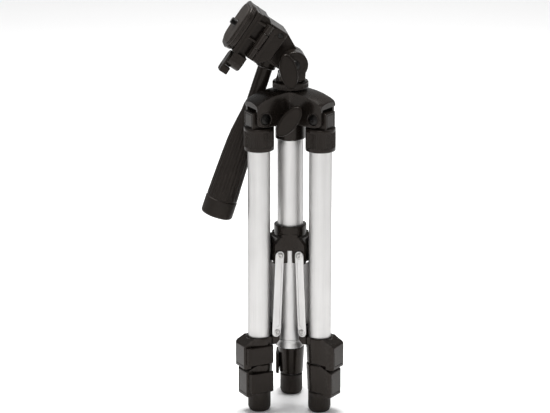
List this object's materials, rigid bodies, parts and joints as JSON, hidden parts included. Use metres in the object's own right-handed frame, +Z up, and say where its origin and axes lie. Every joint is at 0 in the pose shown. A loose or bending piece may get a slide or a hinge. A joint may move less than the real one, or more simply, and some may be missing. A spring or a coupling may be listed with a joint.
{
  "type": "laser level tripod",
  "caption": "Folded telescopic tripod with a pan-and-tilt head, lever leg locks and a sliding spreader hub, to carry a laser level on its camera screw.",
  "frame": {"origin": "on the floor, under the middle of the folded tripod's bounding box; the mast's axis is at x = 14.7 mm, y = -7.4 mm", "axes": "+Z up along the mast, +X to the right seen from the side with the column knob, +Y away from that side"},
  "size_m": [0.1211, 0.0816, 0.3509],
  "materials": {
    "black_plastic": "satin moulded",
    "gloss_black_plastic": "smooth moulded",
    "satin_aluminium": "satin anodised",
    "steel": "plated",
    "rubber": "moulded rubber"
  },
  "bodies": {
    "mast": {"canopy": "black_plastic", "guide_tube": "satin_aluminium", "guide_tube_cap": "black_plastic", "leg_1_bolt": "steel", "leg_2_bolt": "steel", "leg_3_bolt": "steel"},
    "column_knob": {"column_knob": "gloss_black_plastic"},
    "column": {"column": "satin_aluminium", "pan_base": "black_plastic"},
    "pan_body": {"pan_body": "black_plastic"},
    "pan_knob": {"pan_knob": "gloss_black_plastic"},
    "tilt_arm": {"tilt_arm": "black_plastic", "tilt_bolt": "steel"},
    "handle": {"handle_rod": "black_plastic", "handle_grip": "rubber"},
    "platform": {"camera_platform": "black_plastic", "flip_pin": "steel", "quick_plate": "gloss_black_plastic", "plate_cushion": "rubber"},
    "camera_screw": {"camera_screw": "steel"},
    "release_lever": {"release_lever": "black_plastic"},
    "spreader_hub": {"spreader_hub": "black_plastic"},
    "leg_1": {"leg_1_cap": "black_plastic", "leg_1_upper_tube": "satin_aluminium", "leg_1_upper_clamp": "black_plastic"},
    "leg_1_upper_lever": {"leg_1_upper_lever": "gloss_black_plastic"},
    "leg_1_middle": {"leg_1_middle_tube": "satin_aluminium", "leg_1_lower_clamp": "black_plastic"},
    "leg_1_lower_lever": {"leg_1_lower_lever": "gloss_black_plastic"},
    "leg_1_lower": {"leg_1_lower_tube": "satin_aluminium", "leg_1_foot": "rubber"},
    "leg_1_strips": {"leg_1_strip_a": "satin_aluminium", "leg_1_strip_b": "satin_aluminium"},
    "leg_2": {"leg_2_cap": "black_plastic", "leg_2_upper_tube": "satin_aluminium", "leg_2_upper_clamp": "black_plastic"},
    "leg_2_upper_lever": {"leg_2_upper_lever": "gloss_black_plastic"},
    "leg_2_middle": {"leg_2_middle_tube": "satin_aluminium", "leg_2_lower_clamp": "black_plastic"},
    "leg_2_lower_lever": {"leg_2_lower_lever": "gloss_black_plastic"},
    "leg_2_lower": {"leg_2_lower_tube": "satin_aluminium", "leg_2_foot": "rubber"},
    "leg_2_strips": {"leg_2_strip_a": "satin_aluminium", "leg_2_strip_b": "satin_aluminium"},
    "leg_3": {"leg_3_cap": "black_plastic", "leg_3_upper_tube": "satin_aluminium", "leg_3_upper_clamp": "black_plastic"},
    "leg_3_upper_lever": {"leg_3_upper_lever": "gloss_black_plastic"},
    "leg_3_middle": {"leg_3_middle_tube": "satin_aluminium", "leg_3_lower_clamp": "black_plastic"},
    "leg_3_lower_lever": {"leg_3_lower_lever": "gloss_black_plastic"},
    "leg_3_lower": {"leg_3_lower_tube": "satin_aluminium", "leg_3_foot": "rubber"},
    "leg_3_strips": {"leg_3_strip_a": "satin_aluminium", "leg_3_strip_b": "satin_aluminium"}
  },
  "joints": [
    {"name": "column_lock", "type": "hinge", "parent": "mast", "child": "column_knob", "pos_m": [0.0147, -0.0274, 0.2564], "axis": [0, -1, 0], "range_deg": [0, 360]},
    {"name": "column_lift", "type": "slide", "parent": "mast", "child": "column", "axis": [0, 0, 1], "range_m": [0, 0.15]},
    {"name": "pan_turn", "type": "hinge", "parent": "column", "child": "pan_body", "pos_m": [0.0147, -0.0074, 0.285], "axis": [0, 0, 1], "range_deg": [-25, 5]},
    {"name": "pan_lock", "type": "hinge", "parent": "pan_body", "child": "pan_knob", "pos_m": [0.01306, -0.02386, 0.2963], "axis": [0.1564, -0.9877, 0], "range_deg": [0, 360]},
    {"name": "head_tilt", "type": "hinge", "parent": "pan_body", "child": "tilt_arm", "pos_m": [0.01658, -0.0071, 0.3], "axis": [-0.1564, 0.9877, 0], "range_deg": [0, 110]},
    {"name": "handle_twist", "type": "hinge", "parent": "tilt_arm", "child": "handle", "pos_m": [-0.00288, 0.00602, 0.30451], "axis": [-0.3101, -0.0491, -0.9494], "range_deg": [0, 180]},
    {"name": "portrait_flip", "type": "hinge", "parent": "tilt_arm", "child": "platform", "pos_m": [-0.01031, -0.02807, 0.3205], "axis": [0.5594, 0.0886, 0.8241], "range_deg": [0, 90]},
    {"name": "camera_screw_turn", "type": "hinge", "parent": "platform", "child": "camera_screw", "pos_m": [-0.0273, -0.01405, 0.33247], "axis": [-0.814, -0.1289, 0.5664], "continuous": true},
    {"name": "plate_release", "type": "hinge", "parent": "platform", "child": "release_lever", "pos_m": [-0.03567, -0.02753, 0.30854], "axis": [-0.814, -0.1289, 0.5664], "range_deg": [0, 80]},
    {"name": "hub_slide", "type": "slide", "parent": "mast", "child": "spreader_hub", "axis": [0, 0, -1], "range_m": [0, 0.0281]},
    {"name": "leg_1_fold", "type": "hinge", "parent": "mast", "child": "leg_1", "pos_m": [-0.00998, -0.02165, 0.2567], "axis": [-0.5, 0.866, 0], "range_deg": [0, 17]},
    {"name": "leg_1_upper_lock", "type": "hinge", "parent": "leg_1", "child": "leg_1_upper_lever", "pos_m": [-0.01813, -0.03674, 0.052], "axis": [0, 0, -1], "range_deg": [0, 110]},
    {"name": "leg_1_middle_slide", "type": "slide", "parent": "leg_1", "child": "leg_1_middle", "axis": [0, 0, -1], "range_m": [0, 0.11]},
    {"name": "leg_1_lower_lock", "type": "hinge", "parent": "leg_1_middle", "child": "leg_1_lower_lever", "pos_m": [-0.01596, -0.03549, 0.028], "axis": [0, 0, -1], "range_deg": [0, 110]},
    {"name": "leg_1_lower_slide", "type": "slide", "parent": "leg_1_middle", "child": "leg_1_lower", "axis": [0, 0, -1], "range_m": [0, 0.11]},
    {"name": "leg_1_strip_swing", "type": "hinge", "parent": "spreader_hub", "child": "leg_1_strips", "pos_m": [0.00128, -0.01515, 0.1375], "axis": [-0.5, 0.866, 0], "range_deg": [0, 57.3]},
    {"name": "leg_2_fold", "type": "hinge", "parent": "mast", "child": "leg_2", "pos_m": [0.03938, -0.02165, 0.2567], "axis": [-0.5, -0.866, 0], "range_deg": [0, 17]},
    {"name": "leg_2_upper_lock", "type": "hinge", "parent": "leg_2", "child": "leg_2_upper_lever", "pos_m": [0.05653, -0.02116, 0.052], "axis": [0, 0, -1], "range_deg": [0, 110]},
    {"name": "leg_2_middle_slide", "type": "slide", "parent": "leg_2", "child": "leg_2_middle", "axis": [0, 0, -1], "range_m": [0, 0.11]},
    {"name": "leg_2_lower_lock", "type": "hinge", "parent": "leg_2_middle", "child": "leg_2_lower_lever", "pos_m": [0.05436, -0.01991, 0.028], "axis": [0, 0, -1], "range_deg": [0, 110]},
    {"name": "leg_2_lower_slide", "type": "slide", "parent": "leg_2_middle", "child": "leg_2_lower", "axis": [0, 0, -1], "range_m": [0, 0.11]},
    {"name": "leg_2_strip_swing", "type": "hinge", "parent": "spreader_hub", "child": "leg_2_strips", "pos_m": [0.02812, -0.01515, 0.1375], "axis": [-0.5, -0.866, 0], "range_deg": [0, 57.3]},
    {"name": "leg_3_fold", "type": "hinge", "parent": "mast", "child": "leg_3", "pos_m": [0.0147, 0.0211, 0.2567], "axis": [1, 0, 0], "range_deg": [0, 17]},
    {"name": "leg_3_upper_lock", "type": "hinge", "parent": "leg_3", "child": "leg_3_upper_lever", "pos_m": [0.0057, 0.0357, 0.052], "axis": [0, 0, -1], "range_deg": [0, 110]},
    {"name": "leg_3_middle_slide", "type": "slide", "parent": "leg_3", "child": "leg_3_middle", "axis": [0, 0, -1], "range_m": [0, 0.11]},
    {"name": "leg_3_lower_lock", "type": "hinge", "parent": "leg_3_middle", "child": "leg_3_lower_lever", "pos_m": [0.0057, 0.0332, 0.028], "axis": [0, 0, -1], "range_deg": [0, 110]},
    {"name": "leg_3_lower_slide", "type": "slide", "parent": "leg_3_middle", "child": "leg_3_lower", "axis": [0, 0, -1], "range_m": [0, 0.11]},
    {"name": "leg_3_strip_swing", "type": "hinge", "parent": "spreader_hub", "child": "leg_3_strips", "pos_m": [0.0147, 0.0081, 0.1375], "axis": [1, 0, 0], "range_deg": [0, 57.3]}
  ],
  "couplings": [
    {"joint": "hub_slide", "follows": "leg_1_fold", "m_per_rad": 0.094036},
    {"joint": "leg_1_strip_swing", "follows": "leg_1_fold", "ratio": 3.3581},
    {"joint": "leg_2_fold", "follows": "leg_1_fold", "ratio": 1},
    {"joint": "leg_2_strip_swing", "follows": "leg_1_fold", "ratio": 3.3581},
    {"joint": "leg_3_fold", "follows": "leg_1_fold", "ratio": 1},
    {"joint": "leg_3_strip_swing", "follows": "leg_1_fold", "ratio": 3.3581}
  ]
}
